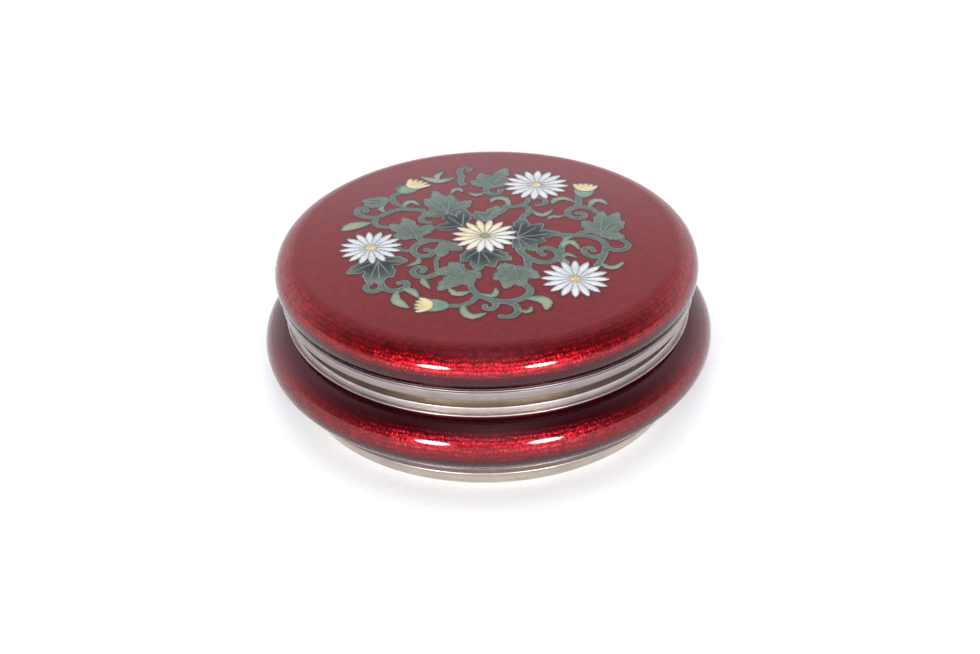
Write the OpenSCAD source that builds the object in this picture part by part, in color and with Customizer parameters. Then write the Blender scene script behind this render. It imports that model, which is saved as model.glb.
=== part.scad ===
// Round trinket box in translucent red enamel over embossed silver foil,
// with silver mounts and a lift-off lid inlaid with chrysanthemums on
// scrolling stems. All lengths are in millimetres. The origin is at the
// centre of the foot's underside and +Z points up.

/* [Bowl] */
// Radius of the bowl at its widest
bowl_r = 45; // [44:0.5:46]
// Height of the widest line above the table
bowl_z = 11.2; // [10.8:0.1:11.6]
// Radius of the rounding from the widest line up to the neck
shoulder_round = 5.8; // [5.6:0.05:6]
// Radius of the rounding from the widest line down to the foot
belly_round = 4.8; // [4.6:0.05:5]

/* [Lid] */
// Radius of the lid at its widest
lid_r = 41.95; // [41.9:0.05:42.1]
// Height of the lid's widest line above the table
lid_z = 26.3; // [26.1:0.1:26.5]
// Radius of the rounded edge of the lid
lid_round = 5; // [4.8:0.1:5.2]
// Radius of the sphere that the lid's top belongs to
dome_r = 700; // [600:10:900]

/* [Mounts] */
// Outer radius of the lid's silver rim
lid_rim_r = 41; // [40.9:0.05:41.1]
// Outer radius of the bowl's silver rim
bowl_rim_r = 39.9; // [39.8:0.05:40]
// Outer radius of the gilt collar that the lid drops over
collar_r = 38.8; // [38.6:0.05:38.9]
// Gap between the collar and the lid rim's bore
collar_gap = 0.08; // [0.04:0.01:0.1]
// Outer radius of the foot where it stands on the table
foot_r = 38; // [37.5:0.1:38.5]

/* [Walls] */
// Thickness of the enamel on the outside
enamel_t = 0.9; // [0.8:0.05:1]
// Thickness of the embossed foil under the enamel
foil_t = 0.1; // [0.08:0.01:0.12]
// Thickness of the spun copper
copper_t = 0.8; // [0.7:0.05:0.9]
// Thickness of the counter enamel on the inside
counter_t = 0.4; // [0.3:0.05:0.5]

/* [Inlay] */
// Width of the silver wire round each cell
wire_w = 0.2; // [0.16:0.01:0.24]
// Width of the scrolling stems
stem_w = 1.25; // [1.1:0.05:1.35]
// Number of petals on each open flower
petal_count = 16; // [14:1:18]

/* [Hidden] */
$fn = 120;
arc_steps = 14;

// Layer boundaries, counted inwards from the outer surface
foil_out = enamel_t;
copper_out = enamel_t + foil_t;
lining_out = copper_out + copper_t;
inside = lining_out + counter_t;

// Heights of the joints between the pieces near the foot and under the lid
foot_top = 3.9;
copper_floor = 4.6;
mount_top = 5.4;
lid_seam = lid_z - 2.7;
lid_rim_bottom = lid_seam - 2.65;
collar_top = lid_seam - 1.1;

function last(p) = p[len(p) - 1];
function reversed(p) = [for (i = [len(p) - 1 : -1 : 0]) p[i]];
function arc(c, r, a0, a1, n = arc_steps) =
    [for (i = [0 : n]) let (a = a0 + (a1 - a0) * i / n) [c.x + r * cos(a), c.y + r * sin(a)]];

// ---- Bowl ----
neck_r = bowl_rim_r + 0.35;
shoulder_c = [bowl_r - shoulder_round, bowl_z];
belly_c = [bowl_r - belly_round, bowl_z];
cone_a = 52.7;

// Height at which the bowl, at depth t under its surface, meets the neck
function neck_height(t) = bowl_z + sqrt(pow(shoulder_round - t, 2) - pow(neck_r - shoulder_c.x, 2));
neck_z = neck_height(0);
skirt_z = neck_height(inside);
bowl_rim_top = neck_z + 1.85;

// The bowl's section at depth t under its surface, from the neck down
// round the shoulder and belly and along a cone to the height z_end
function bowl_line(t, z_end) = let (
    top_a = acos((neck_r - shoulder_c.x) / (shoulder_round - t)),
    upper = arc(shoulder_c, shoulder_round - t, top_a, 0),
    lower = arc(belly_c, belly_round - t, 0, -cone_a),
    low = lower[arc_steps],
    run = (low.y - z_end) * tan(cone_a)
) concat(upper, [for (i = [1 : arc_steps]) lower[i]], [[low.x - run, z_end]]);

module turned(p) rotate_extrude() polygon(p);

module bowl_skin(t0, t1) turned(concat(bowl_line(t0, mount_top), reversed(bowl_line(t1, mount_top))));
module bowl_vessel(t0, t1, z0, z1)
    turned(concat(bowl_line(t0, z0), [[0, z0], [0, z1]], reversed(bowl_line(t1, z1))));

module bowl_enamel() color([0.62, 0.04, 0.08]) bowl_skin(0, foil_out);
module bowl_foil() color([0.85, 0.84, 0.83]) bowl_skin(foil_out, copper_out);
module bowl_copper() color([0.72, 0.42, 0.28]) bowl_vessel(copper_out, lining_out, copper_floor, mount_top);
module bowl_lining() color([0.16, 0.22, 0.42])
    bowl_vessel(lining_out, inside, mount_top, mount_top + counter_t);

underside_r = foot_r - 2.4;
module bowl_underside() color([0.16, 0.22, 0.42])
    translate([0, 0, foot_top + 0.1]) cylinder(r = underside_r, h = copper_floor - foot_top - 0.1);

// Silver ring that closes the lower edge of the enamel
mount_r = last(bowl_line(0, mount_top)).x;
module lower_mount() color([0.80, 0.78, 0.78]) turned([
    last(bowl_line(copper_out, mount_top)), last(bowl_line(copper_out, copper_floor)),
    [underside_r, copper_floor], [underside_r, foot_top],
    [mount_r - 0.75, foot_top], [mount_r - 0.35, foot_top + 0.25], [mount_r - 0.05, copper_floor],
    [mount_r, mount_top - 0.3], [mount_r - 0.05, mount_top]]);

// Foot: a tapered band with a rounded standing edge and a seam above it
foot_seat_r = foot_r + 1.35;
foot_in = foot_r - 1.7;
module foot_ring() color([0.78, 0.74, 0.70]) turned([
    [foot_in + 0.2, 0], [foot_r - 0.25, 0], [foot_r - 0.05, 0.1], [foot_r + 0.1, 0.35],
    [foot_seat_r, foot_top - 0.8], [foot_seat_r, foot_top - 0.55],
    [foot_seat_r - 0.15, foot_top - 0.4], [foot_seat_r - 0.45, foot_top - 0.35],
    [foot_seat_r - 0.45, foot_top], [foot_in + 0.7, foot_top], [foot_in + 0.6, foot_top - 0.7],
    [foot_in, 0.3], [foot_in + 0.05, 0.1]]);

// Bowl rim: plain band over a fine bead, with a skirt inside the neck
module bowl_rim() color([0.82, 0.80, 0.80]) turned([
    [collar_r, skirt_z], [neck_r, skirt_z], [neck_r, neck_z], [neck_r + 0.1, neck_z + 0.05],
    [neck_r + 0.15, neck_z + 0.15], [neck_r + 0.1, neck_z + 0.25], [neck_r - 0.05, neck_z + 0.32],
    [bowl_rim_r - 0.12, neck_z + 0.36], [bowl_rim_r - 0.12, neck_z + 0.48],
    [bowl_rim_r, neck_z + 0.56], [bowl_rim_r, bowl_rim_top - 0.2],
    [bowl_rim_r - 0.06, bowl_rim_top - 0.06], [bowl_rim_r - 0.2, bowl_rim_top], [collar_r, bowl_rim_top]]);

// Gilt collar, soldered inside the bowl rim
collar_in = collar_r - 0.7;
module collar() color([0.66, 0.52, 0.36]) difference() {
    translate([0, 0, skirt_z]) cylinder(r = collar_r, h = collar_top - skirt_z);
    translate([0, 0, skirt_z - 1]) cylinder(r = collar_in, h = collar_top - skirt_z + 2);
}

// ---- Lid ----
lid_c = [lid_r - lid_round, lid_z];
dome_a = asin(lid_c.x / (dome_r - lid_round));
dome_z = lid_c.y - (dome_r - lid_round) * cos(dome_a);
dome_steps = 5;

// The dome at depth t, from its edge in to a level crown at the axis
function dome_line(t) = let (
    rings = [for (i = [dome_steps : -1 : 1]) let (a = dome_a * i / dome_steps)
        [(dome_r - t) * sin(a), dome_z + (dome_r - t) * cos(a)]]
) concat(rings, [[0, last(rings).y]]);
lid_top = last(dome_line(0)).y;

// The lid's section at depth t, from the seam up round the edge and over
// the dome to the axis
function lid_line(t) = let (
    seam_a = asin((lid_seam - lid_c.y) / lid_round),
    edge = arc(lid_c, lid_round - t, seam_a, 90 - dome_a),
    dome = dome_line(t)
) concat(t > 0 ? [[edge[0].x, lid_seam]] : [], edge, [for (i = [1 : dome_steps]) dome[i]]);

module lid_skin(t0, t1) turned(concat(lid_line(t0), reversed(lid_line(t1))));

module lid_foil() color([0.85, 0.84, 0.83]) lid_skin(foil_out, copper_out);
module lid_copper() color([0.72, 0.42, 0.28]) lid_skin(copper_out, lining_out);
module lid_lining() color([0.16, 0.22, 0.42]) lid_skin(lining_out, inside);
module lid_enamel() color([0.62, 0.04, 0.08]) difference() {
    lid_skin(0, foil_out);
    translate([0, 0, inlay_floor]) linear_extrude(inlay_h) inlay_outline();
}

// Lid rim: plain band, fine bead and seam, bored to drop over the collar,
// with a ledge inside that comes to rest on the collar's top edge
lid_bore = collar_r + collar_gap;
ledge_r = collar_r - 0.8;
module lid_rim() color([0.82, 0.80, 0.80]) difference() {
    turned([[ledge_r, lid_rim_bottom], [lid_rim_r - 0.2, lid_rim_bottom],
        [lid_rim_r - 0.06, lid_rim_bottom + 0.06], [lid_rim_r, lid_rim_bottom + 0.2],
        [lid_rim_r, lid_seam - 0.88], [lid_rim_r - 0.1, lid_seam - 0.8],
        [lid_rim_r - 0.1, lid_seam - 0.7], [lid_rim_r + 0.1, lid_seam - 0.65],
        [lid_rim_r + 0.18, lid_seam - 0.52], [lid_rim_r + 0.1, lid_seam - 0.38],
        [lid_rim_r - 0.15, lid_seam - 0.3], [lid_rim_r - 0.15, lid_seam], [ledge_r, lid_seam]]);
    translate([0, 0, lid_rim_bottom - 1]) cylinder(r = lid_bore, h = collar_top - lid_rim_bottom + 1);
}

// ---- Inlay ----
// Plan positions on the lid, seen from above with +Y away from the front
// Every cell stands on one level floor, just above the foil at the centre
inlay_floor = lid_top - enamel_t + 0.04;
inlay_h = enamel_t + 0.5;
hair = 0.002;

// Open flowers: centre, outer radius, turn of the first petal
CREAM_FLOWER = [[-0.2, -0.3], 6.4, 11.2];
WHITE_FLOWERS = [[[-22.6, -3.1], 6.1, 5.7], [[10.7, 21.1], 6.6, 16.5], [[16.7, -17], 6.4, 19.7]];
disc_r = 1.15;

// Leaves: point where the lobes meet, half width of a lobe, tips of the lobes
DARK_LEAVES = [
    [[-7.6, 9.4], 1.7, [[-10.4, 19.4], [-12.2, 16.2], [-12.6, 9.8], [-2.9, 14.6], [-7, 17.6]]],
    [[-4.6, 4], 1.6, [[-4.2, 10.8], [-8.4, 9.4], [-10.2, 3.6]]],
    [[-13.6, 0.4], 1.6, [[-16.4, 8.2], [-19, 5.8], [-18.2, 1.2], [-10.8, 4.8]]],
    [[-20.2, 15.2], 1.5, [[-25, 16.8], [-24.6, 14.6], [-22.2, 17.8]]],
    [[-21, -8.4], 1.7, [[-26.8, -12.4], [-22.6, -16.2], [-18, -14.6], [-15.2, -8.8], [-20.4, -17]]],
    [[-4.6, -13.6], 1.6, [[-7, -10.2], [-9.8, -13], [-9.2, -20], [-6.6, -19], [-3.2, -18.8], [-1.2, -16]]],
    [[-1.2, -5.4], 1.7, [[-4.8, -10], [-1.8, -13.6], [1.4, -12.4], [4.8, -9.8]]],
    [[5.4, -12.6], 1.7, [[2, -13], [1.4, -17], [3.4, -20], [6.4, -19.4], [9.8, -16.6]]],
    [[6.2, -1.2], 1.7, [[7.6, 6.6], [11.4, 4], [14.4, 0.4], [11.6, -3], [9.6, -6.6], [7, -6.4]]],
    [[0, 5.6], 1.5, [[-1.8, 9.8], [2.6, 11.8]]],
    [[1.4, 20.6], 1.6, [[-2.6, 23.6], [-0.8, 27], [4.8, 29.4], [4.8, 23.2]]],
    [[22.6, -0.6], 1.6, [[19.6, 5], [23.6, 9], [26.8, 8.6], [27.6, 4.8], [27.2, -1.6]]],
    [[-8.4, -2.6], 1.4, [[-8.8, -8], [-4.8, -5.6]]]];

// Leaflets and hooks: half width and the points that the middle runs through
PALE_LEAVES = [
    [0.95, [[-13.2, 26.4], [-11, 24.8], [-9, 24], [-6.2, 25.4]]],
    [0.6, [[-9.6, 24.4], [-9.9, 26.6], [-8.6, 28.4]]],
    [0.5, [[-6.8, 18], [-6.4, 19.6], [-5.2, 20], [-4.6, 18.6]]],
    [0.6, [[-3.4, 18.2], [-1.8, 17], [-0.2, 17.8]]],
    [0.75, [[1.2, 13.6], [1.8, 15], [3.4, 15.4], [4.6, 14], [4.8, 11.6]]],
    [0.7, [[13.6, 12.4], [14.4, 14.2], [16.4, 14.8], [18.4, 13]]],
    [0.75, [[21.2, 11], [22, 13.4], [23.6, 13.8], [24.8, 12]]],
    [0.65, [[9.6, 9.6], [10.6, 8], [12, 7.8], [13.6, 9.8]]],
    [0.45, [[12.4, 5.8], [13.4, 7], [14.6, 6.8], [16.2, 7.6]]],
    [0.7, [[-16.6, 12.6], [-16, 14.6], [-14.8, 15.2], [-13.4, 13.4]]],
    [0.5, [[-20.6, 14], [-21.2, 12.6], [-20.2, 11]]],
    [1.45, [[-28.6, 4.4], [-26.6, 6], [-23, 6.8]]],
    [0.55, [[-13.2, -8], [-13.2, -9.6], [-15.2, -10.8]]],
    [0.6, [[-12.2, -15.4], [-12, -17], [-10.8, -19.2]]],
    [0.95, [[-17, -19.6], [-17.2, -22.4], [-16.2, -24], [-14.8, -25.4]]],
    [0.75, [[-15.9, -18.8], [-14.2, -19.8], [-13, -22]]],
    [0.7, [[-7.2, -19.4], [-6.2, -21.2], [-4.8, -21.4], [-3.4, -20.8]]],
    [0.85, [[-4.6, -25.2], [-4.4, -27.6], [-2.8, -29.2], [-0.4, -28.2]]],
    [0.6, [[-1, -21.8], [0.6, -22.5], [1.6, -21.6], [1.5, -20]]],
    [1.15, [[7.4, -23.6], [9.8, -23.9], [11, -25.2], [10.7, -27.4]]],
    [0.45, [[5.6, -27], [6.8, -28], [7.8, -27.6], [8, -26.4]]],
    [0.6, [[22, -11.6], [23.2, -13], [24.8, -12.9], [26.2, -11.2]]],
    [0.8, [[14.8, -5.8], [15.2, -4], [16.8, -3.4], [18.1, -6.2]]],
    [0.5, [[14.6, -9.4], [15.6, -8], [17.4, -9.4]]],
    [0.5, [[15.2, -3], [15.8, -2], [17, -1]]],
    [0.45, [[14.7, -10], [15.4, -11], [15.5, -12.6]]]];

// Scrolling stems and curls: share of the full width and the points that
// the middle runs through
STEMS = [
    [1, [[-12.2, 10.8], [-14.6, 11.6], [-17.4, 11.8], [-19.8, 10.6], [-21.6, 9.2], [-24, 9.4],
        [-25.8, 11], [-25.8, 13], [-24.4, 13.2], [-24.2, 12]]],
    [0.85, [[-21.8, 9], [-22.2, 7], [-21.2, 5.2], [-18.6, 4.4]]],
    [0.85, [[-17.2, 19.6], [-18.9, 17.8], [-18.6, 15.2], [-17.2, 13.4], [-15.6, 11.8]]],
    [0.9, [[-11.6, 9.6], [-12.8, 8], [-12.6, 6.4], [-11.2, 5.8]]],
    [0.9, [[-13.4, 0.6], [-12.6, -1.2], [-10, -1.6], [-7.6, -2.4]]],
    [0.95, [[-11.4, -1.6], [-13.4, -2.8], [-14.2, -5], [-13.2, -7.2], [-11.2, -7.4], [-10.4, -5.9],
        [-11.6, -5]]],
    [0.7, [[-17.6, -3.6], [-16, -5], [-14.2, -4.8]]],
    [0.9, [[-9.4, -14], [-11.4, -15.2], [-13.4, -14.6], [-14.2, -12.8], [-13, -11.4], [-11.8, -12.2],
        [-12.4, -13.2]]],
    [0.55, [[-9, -7], [-9.7, -9.4], [-9.6, -12.4]]],
    [0.95, [[-20.2, -16], [-20, -18.2], [-21.6, -19.4], [-23, -18], [-22.2, -16.4]]],
    [0.95, [[-20, -17.4], [-18.6, -19.2], [-16.8, -19.4], [-15.2, -18.2], [-15.4, -16.6],
        [-16.6, -16.8]]],
    [1, [[7.2, -19], [8.1, -21], [7.2, -23], [5, -24.3], [2.4, -24.5], [0, -23.4], [-2, -21.6],
        [-3, -19.4], [-3.2, -17.6]]],
    [0.85, [[-1.8, -22], [-3, -24.2], [-5, -25.4], [-8, -25.2]]],
    [0.85, [[0.6, -23.9], [1.6, -25.2], [0.8, -26.8], [-0.5, -26.6], [-0.5, -25.8]]],
    [0.9, [[3.4, -24.4], [5.2, -26], [5.5, -28], [4.2, -29.5], [2.4, -29.4]]],
    [1, [[6.4, -3], [6.4, -6], [7.6, -8.6], [9.6, -10.6], [12, -11], [13.8, -9.4], [13.6, -7],
        [11.8, -5.6], [10.2, -6.8], [11, -8.2]]],
    [1, [[7.8, -9], [7.9, -12], [7, -15], [6.8, -17.6], [7.4, -19.6]]],
    [0.85, [[14.6, -11.2], [14.5, -8], [14.8, -5], [15.6, -2.6], [15.2, -0.8]]],
    [1, [[13.4, 0], [16, -0.8], [19, -0.9], [21.8, -2], [23.3, -4.4], [23, -7.4], [22.2, -10],
        [21.2, -12.2]]],
    [0.9, [[22.8, -8.2], [20.8, -9.2], [19.2, -8], [19, -6.3], [20.2, -5.7], [20.8, -6.8]]],
    [0.9, [[23.2, -5.2], [25, -6.6], [27, -6.2], [27.8, -4.4], [26.8, -2.8]]],
    [0.8, [[17.6, -1], [19, 0.3], [21.4, 0.6]]],
    [0.95, [[19.4, 17], [19.1, 14], [18.8, 11.4], [17, 9.8], [16.6, 7.8], [18, 6.2], [19.8, 6.6],
        [19.7, 8.2], [18.6, 8.2]]],
    [0.9, [[19, 11.2], [21.2, 10.4], [22.4, 8.8], [23.4, 7]]],
    [0.95, [[4.6, 12.2], [3.2, 9.4], [1.6, 7.6]]],
    [0.85, [[4.4, 11.6], [6.4, 11.4], [8.2, 12.6], [9, 15]]],
    [0.95, [[7.6, 12.2], [8.9, 10.4], [8.5, 8.4], [7.4, 6.6], [7.4, 4]]],
    [0.7, [[10.4, 15.4], [12.2, 14.4], [12.1, 12.4], [10.6, 11.8]]],
    [0.95, [[-4.2, 21.6], [-5, 23.4], [-4.7, 25.8], [-5.2, 28], [-4.4, 30], [-3, 29.6], [-3.2, 28.6]]],
    [0.85, [[1.2, 21], [0.2, 19.2], [1, 17.4], [2.8, 17.2], [3.4, 19]]],
    [0.6, [[-17.2, 22.6], [-18, 21.4], [-17.4, 19.8]]]];

// Buds: middle of the cup, direction that the bud points, length of its petals
BUDS = [[[-16.4, 20.2], 52, 5.8], [[20.2, 16.4], 80, 5.3], [[-8.6, -25.2], 172, 5.2]];
bud_spread = 13.5;
// Half width of the middle line of a vein, which is grown into a wire
vein_half = 0.01;

function smooth_at(a, b, c, d, t) = 0.5 * (2 * b + (c - a) * t + (2 * a - 5 * b + 4 * c - d) * t * t
    + (3 * b - a - 3 * c + d) * t * t * t);
function curve(p, n = 3) = let (q = concat([2 * p[0] - p[1]], p, [2 * p[len(p) - 1] - p[len(p) - 2]]))
    concat([for (i = [1 : len(p) - 1]) for (k = [0 : n - 1])
        smooth_at(q[i - 1], q[i], q[i + 1], q[i + 2], k / n)], [p[len(p) - 1]]);
function unit(v) = v / norm(v);
function normal_at(p, i) = let (
    d = unit(p[min(i + 1, len(p) - 1)] - p[max(i - 1, 0)])) [-d.y, d.x];

// A stroke along p whose half width at each point is given by half
module stroke(p, half) {
    left = [for (i = [0 : len(p) - 1]) p[i] + normal_at(p, i) * half[i]];
    right = [for (i = [len(p) - 1 : -1 : 0]) p[i] - normal_at(p, i) * half[i]];
    polygon(concat(left, right));
}

module petal(r) polygon([
    [disc_r, 0.18], [0.62 * r, 0.114 * r], [0.82 * r, 0.092 * r], [0.95 * r, 0.042 * r],
    [r, 0], [0.95 * r, -0.042 * r], [0.82 * r, -0.092 * r], [0.62 * r, -0.114 * r], [disc_r, -0.18]]);
module flower_petals(f) translate(f[0]) for (k = [0 : petal_count - 1])
    rotate(f[2] + k * 360 / petal_count) petal(f[1]);
module flower_disc(f) translate(f[0]) circle(r = disc_r, $fn = 16);
module all_petals() {
    flower_petals(CREAM_FLOWER);
    for (f = WHITE_FLOWERS) flower_petals(f);
}
module all_discs() for (f = concat([CREAM_FLOWER], WHITE_FLOWERS)) flower_disc(f);

// A lobe swells from the leaf's base and narrows in two teeth to a point:
// share of its length and share of its half width
LOBE = [[0, 0.42], [0.3, 0.74], [0.48, 1.04], [0.56, 0.82], [0.72, 0.96], [0.8, 0.64], [0.9, 0.46],
    [1, 0.1]];
module lobe(base, tip, half)
    stroke([for (s = LOBE) base + (tip - base) * s[0]], [for (s = LOBE) half * s[1]]);
module leaf(l) for (tip = l[2]) lobe(l[0], tip, l[1]);

module hook(h) {
    p = curve(h[1], 2);
    n = len(p) - 1;
    stroke(p, [for (i = [0 : n]) max(0.06, h[0] * pow(sin(180 * (0.04 + 0.92 * i / n)), 0.8))]);
}

module stem(s) {
    p = curve(s[1]);
    n = len(p) - 1;
    stroke(p, [for (i = [0 : n]) s[0] * stem_w / 2 * (1 - 0.25 * pow(i / n, 3))]);
    translate(p[n]) circle(r = 0.5 * s[0] * stem_w, $fn = 10);
}

module bud_flower(b) translate(b[0]) rotate(b[1]) for (k = [-2 : 2]) rotate(k * bud_spread)
    polygon([[0.4, 0.2], [0.55 * b[2], 0.55], [0.8 * b[2], 0.58], [0.93 * b[2], 0.42], [b[2], 0],
        [0.93 * b[2], -0.42], [0.8 * b[2], -0.58], [0.55 * b[2], -0.55], [0.4, -0.2]]);
module bud_cup(b) translate(b[0]) rotate(b[1]) polygon([
    [-1.3, 0.4], [-0.6, 1.3], [0.8, 1.9], [2.4, 1.9], [1.7, 1.1], [1.5, 0], [1.7, -1.1], [2.4, -1.9],
    [0.8, -1.9], [-0.6, -1.3], [-1.3, -0.4]]);

// Regions of the plan, in the order in which one lies over the next
module petal_zone() all_petals();
module flower_zone() {
    all_petals();
    all_discs();
}
module bud_cup_zone() for (b = BUDS) bud_cup(b);
module bud_petal_zone() difference() {
    for (b = BUDS) bud_flower(b);
    bud_cup_zone();
}
module bud_zone() for (b = BUDS) {
    bud_cup(b);
    bud_flower(b);
}
module leaf_zone() difference() {
    for (l = DARK_LEAVES) leaf(l);
    flower_zone();
    bud_zone();
}
module pale_zone() difference() {
    for (h = PALE_LEAVES) hook(h);
    flower_zone();
    bud_zone();
    for (l = DARK_LEAVES) leaf(l);
}
module stem_zone() difference() {
    for (s = STEMS) stem(s);
    flower_zone();
    bud_zone();
    for (l = DARK_LEAVES) leaf(l);
    for (h = PALE_LEAVES) hook(h);
}
module vein_lines() for (l = DARK_LEAVES) for (tip = l[2])
    stroke([l[0], l[0] + (tip - l[0]) * 0.72], [vein_half, vein_half]);

// Cells are drawn in by half a wire from their zone, and wires fill the rest.
// Very sharp corners are cut off square at corner_w from the zone's edge
corner_w = 0.8 * wire_w;
module cells() {
    offset(delta = -wire_w / 2) children();
    offset(delta = -corner_w, chamfer = true) children();
}
module grown() intersection() {
    offset(delta = wire_w / 2) children();
    offset(delta = corner_w, chamfer = true) children();
}
module inlay_outline() grown() {
    flower_zone();
    bud_zone();
    for (l = DARK_LEAVES) leaf(l);
    for (h = PALE_LEAVES) hook(h);
    for (s = STEMS) stem(s);
}

// Raises a plan from the level floor until it is flush with the dome. The
// offsets part corners that meet at a point and leave a hair of clearance
module inlaid() intersection() {
    translate([0, 0, inlay_floor]) linear_extrude(inlay_h)
        offset(delta = hair) offset(delta = -2 * hair) intersection() {
            inlay_outline();
            children();
        }
    turned(concat(dome_line(0), [[0, lid_c.y], [lid_c.x, lid_c.y]]));
}

// What lies over the leaves, and over the stems and leaflets
module over_leaves() {
    grown() flower_zone();
    grown() bud_zone();
}
module over_stems() {
    over_leaves();
    grown() leaf_zone();
}

module leaf_cells() difference() {
    cells() leaf_zone();
    grown() vein_lines();
    over_leaves();
}
module pale_cells() difference() {
    cells() pale_zone();
    over_stems();
}
module stem_cells() difference() {
    cells() stem_zone();
    over_stems();
    pale_cells();
}

module white_petals() color([0.93, 0.94, 0.97]) inlaid() cells() for (f = WHITE_FLOWERS) flower_petals(f);
module cream_petals() color([0.96, 0.93, 0.80]) inlaid() cells() flower_petals(CREAM_FLOWER);
module flower_centres() color([0.92, 0.82, 0.48]) inlaid() cells() for (f = WHITE_FLOWERS) flower_disc(f);
module green_centre() color([0.52, 0.60, 0.30]) inlaid() cells() flower_disc(CREAM_FLOWER);
module dark_leaves() color([0.36, 0.45, 0.42]) inlaid() leaf_cells();
module pale_leaves() color([0.66, 0.72, 0.62]) inlaid() pale_cells();
module scroll_stems() color([0.42, 0.50, 0.46]) inlaid() stem_cells();
module bud_petals() color([0.95, 0.87, 0.66]) inlaid() cells() bud_petal_zone();
module bud_cups() color([0.50, 0.60, 0.48]) inlaid() cells() bud_cup_zone();

module petal_wires() color([0.88, 0.87, 0.86]) inlaid() difference() {
    grown() flower_zone();
    cells() all_petals();
    cells() all_discs();
}
module bud_wires() color([0.88, 0.87, 0.86]) inlaid() difference() {
    grown() bud_zone();
    cells() bud_petal_zone();
    cells() bud_cup_zone();
    grown() flower_zone();
}
module leaf_wires() color([0.88, 0.87, 0.86]) inlaid() difference() {
    grown() leaf_zone();
    leaf_cells();
    over_leaves();
}
module stem_wires() color([0.88, 0.87, 0.86]) inlaid() difference() {
    grown() {
        pale_zone();
        stem_zone();
    }
    pale_cells();
    stem_cells();
    over_stems();
}

foot_ring();
lower_mount();
bowl_copper();
bowl_foil();
bowl_enamel();
bowl_lining();
bowl_underside();
bowl_rim();
collar();
lid_copper();
lid_foil();
lid_enamel();
lid_lining();
lid_rim();
white_petals();
cream_petals();
flower_centres();
green_centre();
dark_leaves();
pale_leaves();
scroll_stems();
bud_petals();
bud_cups();
petal_wires();
leaf_wires();
stem_wires();
bud_wires();
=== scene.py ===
import math

import bmesh
import bpy
import numpy as np
from mathutils import Euler, Matrix, Vector
from mathutils.kdtree import KDTree

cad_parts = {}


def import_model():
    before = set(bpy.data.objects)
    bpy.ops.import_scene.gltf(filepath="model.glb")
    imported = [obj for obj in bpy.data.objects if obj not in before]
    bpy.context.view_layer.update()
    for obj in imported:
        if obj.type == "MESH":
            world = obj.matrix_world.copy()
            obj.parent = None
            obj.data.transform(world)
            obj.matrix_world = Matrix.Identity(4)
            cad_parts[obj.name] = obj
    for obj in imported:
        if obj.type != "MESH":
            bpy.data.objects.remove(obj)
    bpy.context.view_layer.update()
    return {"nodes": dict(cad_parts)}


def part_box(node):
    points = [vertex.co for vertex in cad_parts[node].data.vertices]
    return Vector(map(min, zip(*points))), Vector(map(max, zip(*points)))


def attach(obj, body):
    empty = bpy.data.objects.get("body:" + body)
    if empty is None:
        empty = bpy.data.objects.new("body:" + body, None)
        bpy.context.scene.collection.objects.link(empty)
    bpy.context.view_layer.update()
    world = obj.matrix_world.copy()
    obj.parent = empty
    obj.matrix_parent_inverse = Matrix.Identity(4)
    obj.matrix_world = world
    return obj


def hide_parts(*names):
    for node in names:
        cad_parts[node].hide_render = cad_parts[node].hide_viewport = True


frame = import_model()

MM = 0.001
NODES = frame["nodes"]

# ---------------------------------------------------------------- sizes
# Places come from the frame's boxes; the rest are the part's own measures, in metres.
ENAMEL_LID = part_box("lid_enamel")
ENAMEL_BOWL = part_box("bowl_enamel")
LID_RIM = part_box("lid_rim")
BOWL_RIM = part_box("bowl_rim")
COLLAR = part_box("collar")
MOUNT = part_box("lower_mount")
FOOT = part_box("foot_ring")
BOWL_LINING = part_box("bowl_lining")
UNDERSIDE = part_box("bowl_underside")

# The lid: a shallow dome that rolls over into a round edge.
LID_R = ENAMEL_LID[1].x
LID_SEAM = ENAMEL_LID[0].z
LID_ROUND = 5.0 * MM
LID_Z = LID_SEAM + 2.7 * MM
LID_EDGE_R = LID_R - LID_ROUND
DOME_R = 700 * MM
DOME_A = math.asin(LID_EDGE_R / (DOME_R - LID_ROUND))
DOME_Z = LID_Z - (DOME_R - LID_ROUND) * math.cos(DOME_A)
# The bowl: a round shoulder over a round belly, then a straight cone down to the foot.
BOWL_R = ENAMEL_BOWL[1].x
BOWL_Z = 11.2 * MM
SHOULDER_ROUND = 5.8 * MM
BELLY_ROUND = 4.8 * MM
CONE_A = math.radians(52.7)
NECK_R = BOWL_RIM[1].x - 0.15 * MM
# The silver bands, and the wall from the red enamel in to the blue.
LID_BORE = 38.88 * MM
LID_LEDGE_R = 38.0 * MM
NECK_BAND_R = 39.9 * MM
NECK_BORE = 38.8 * MM
WALL = 2.2 * MM
TURN_IN = 0.9 * MM
# The stamped foil and the inlay.
FOIL_PITCH = 0.92 * MM
INLAY_LIFT = 0.02 * MM
INLAY_R = 33 * MM
WIRE_PROUD = 0.03 * MM
WIRE_SOFT = 0.03 * MM
WIRE_GRID = 1.2 * MM
SKIRT_DEPTH = 0.12 * MM
OUTLINE_STEP = 0.12 * MM
MERGE = 1e-6
# How finely pieces are turned, and the edge angle above which shading breaks.
TURNS = 360
FINE_TURNS = 720
CREASE = math.radians(38)
# The camera: degrees down and of roll, distance from the point it looks at, the picture's width,
# focal length and shift in pixels, and the width of the film.
VIEW_DOWN = 31.95
VIEW_ROLL = -1.64
VIEW_DISTANCE = 0.3641
LOOK_AT = Vector((0, 0, 0.015))
PICTURE_W = 980
FOCAL = 1800
SHIFT_X = 2.1
SHIFT_Y = -17.7
FILM_W = 36.0
# The colour of the lights, and of the room that shows in reflections.
LIGHT_TINT = (0.985, 0.995, 1.0)
ROOM_TINT = (0.93, 0.93, 1.02)
ROOM_STRENGTH = 1.42


def dome_height(x, y):
    """Height of the lid's dome over a point of the plan."""
    return DOME_Z + np.sqrt(DOME_R ** 2 - x ** 2 - y ** 2)


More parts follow.
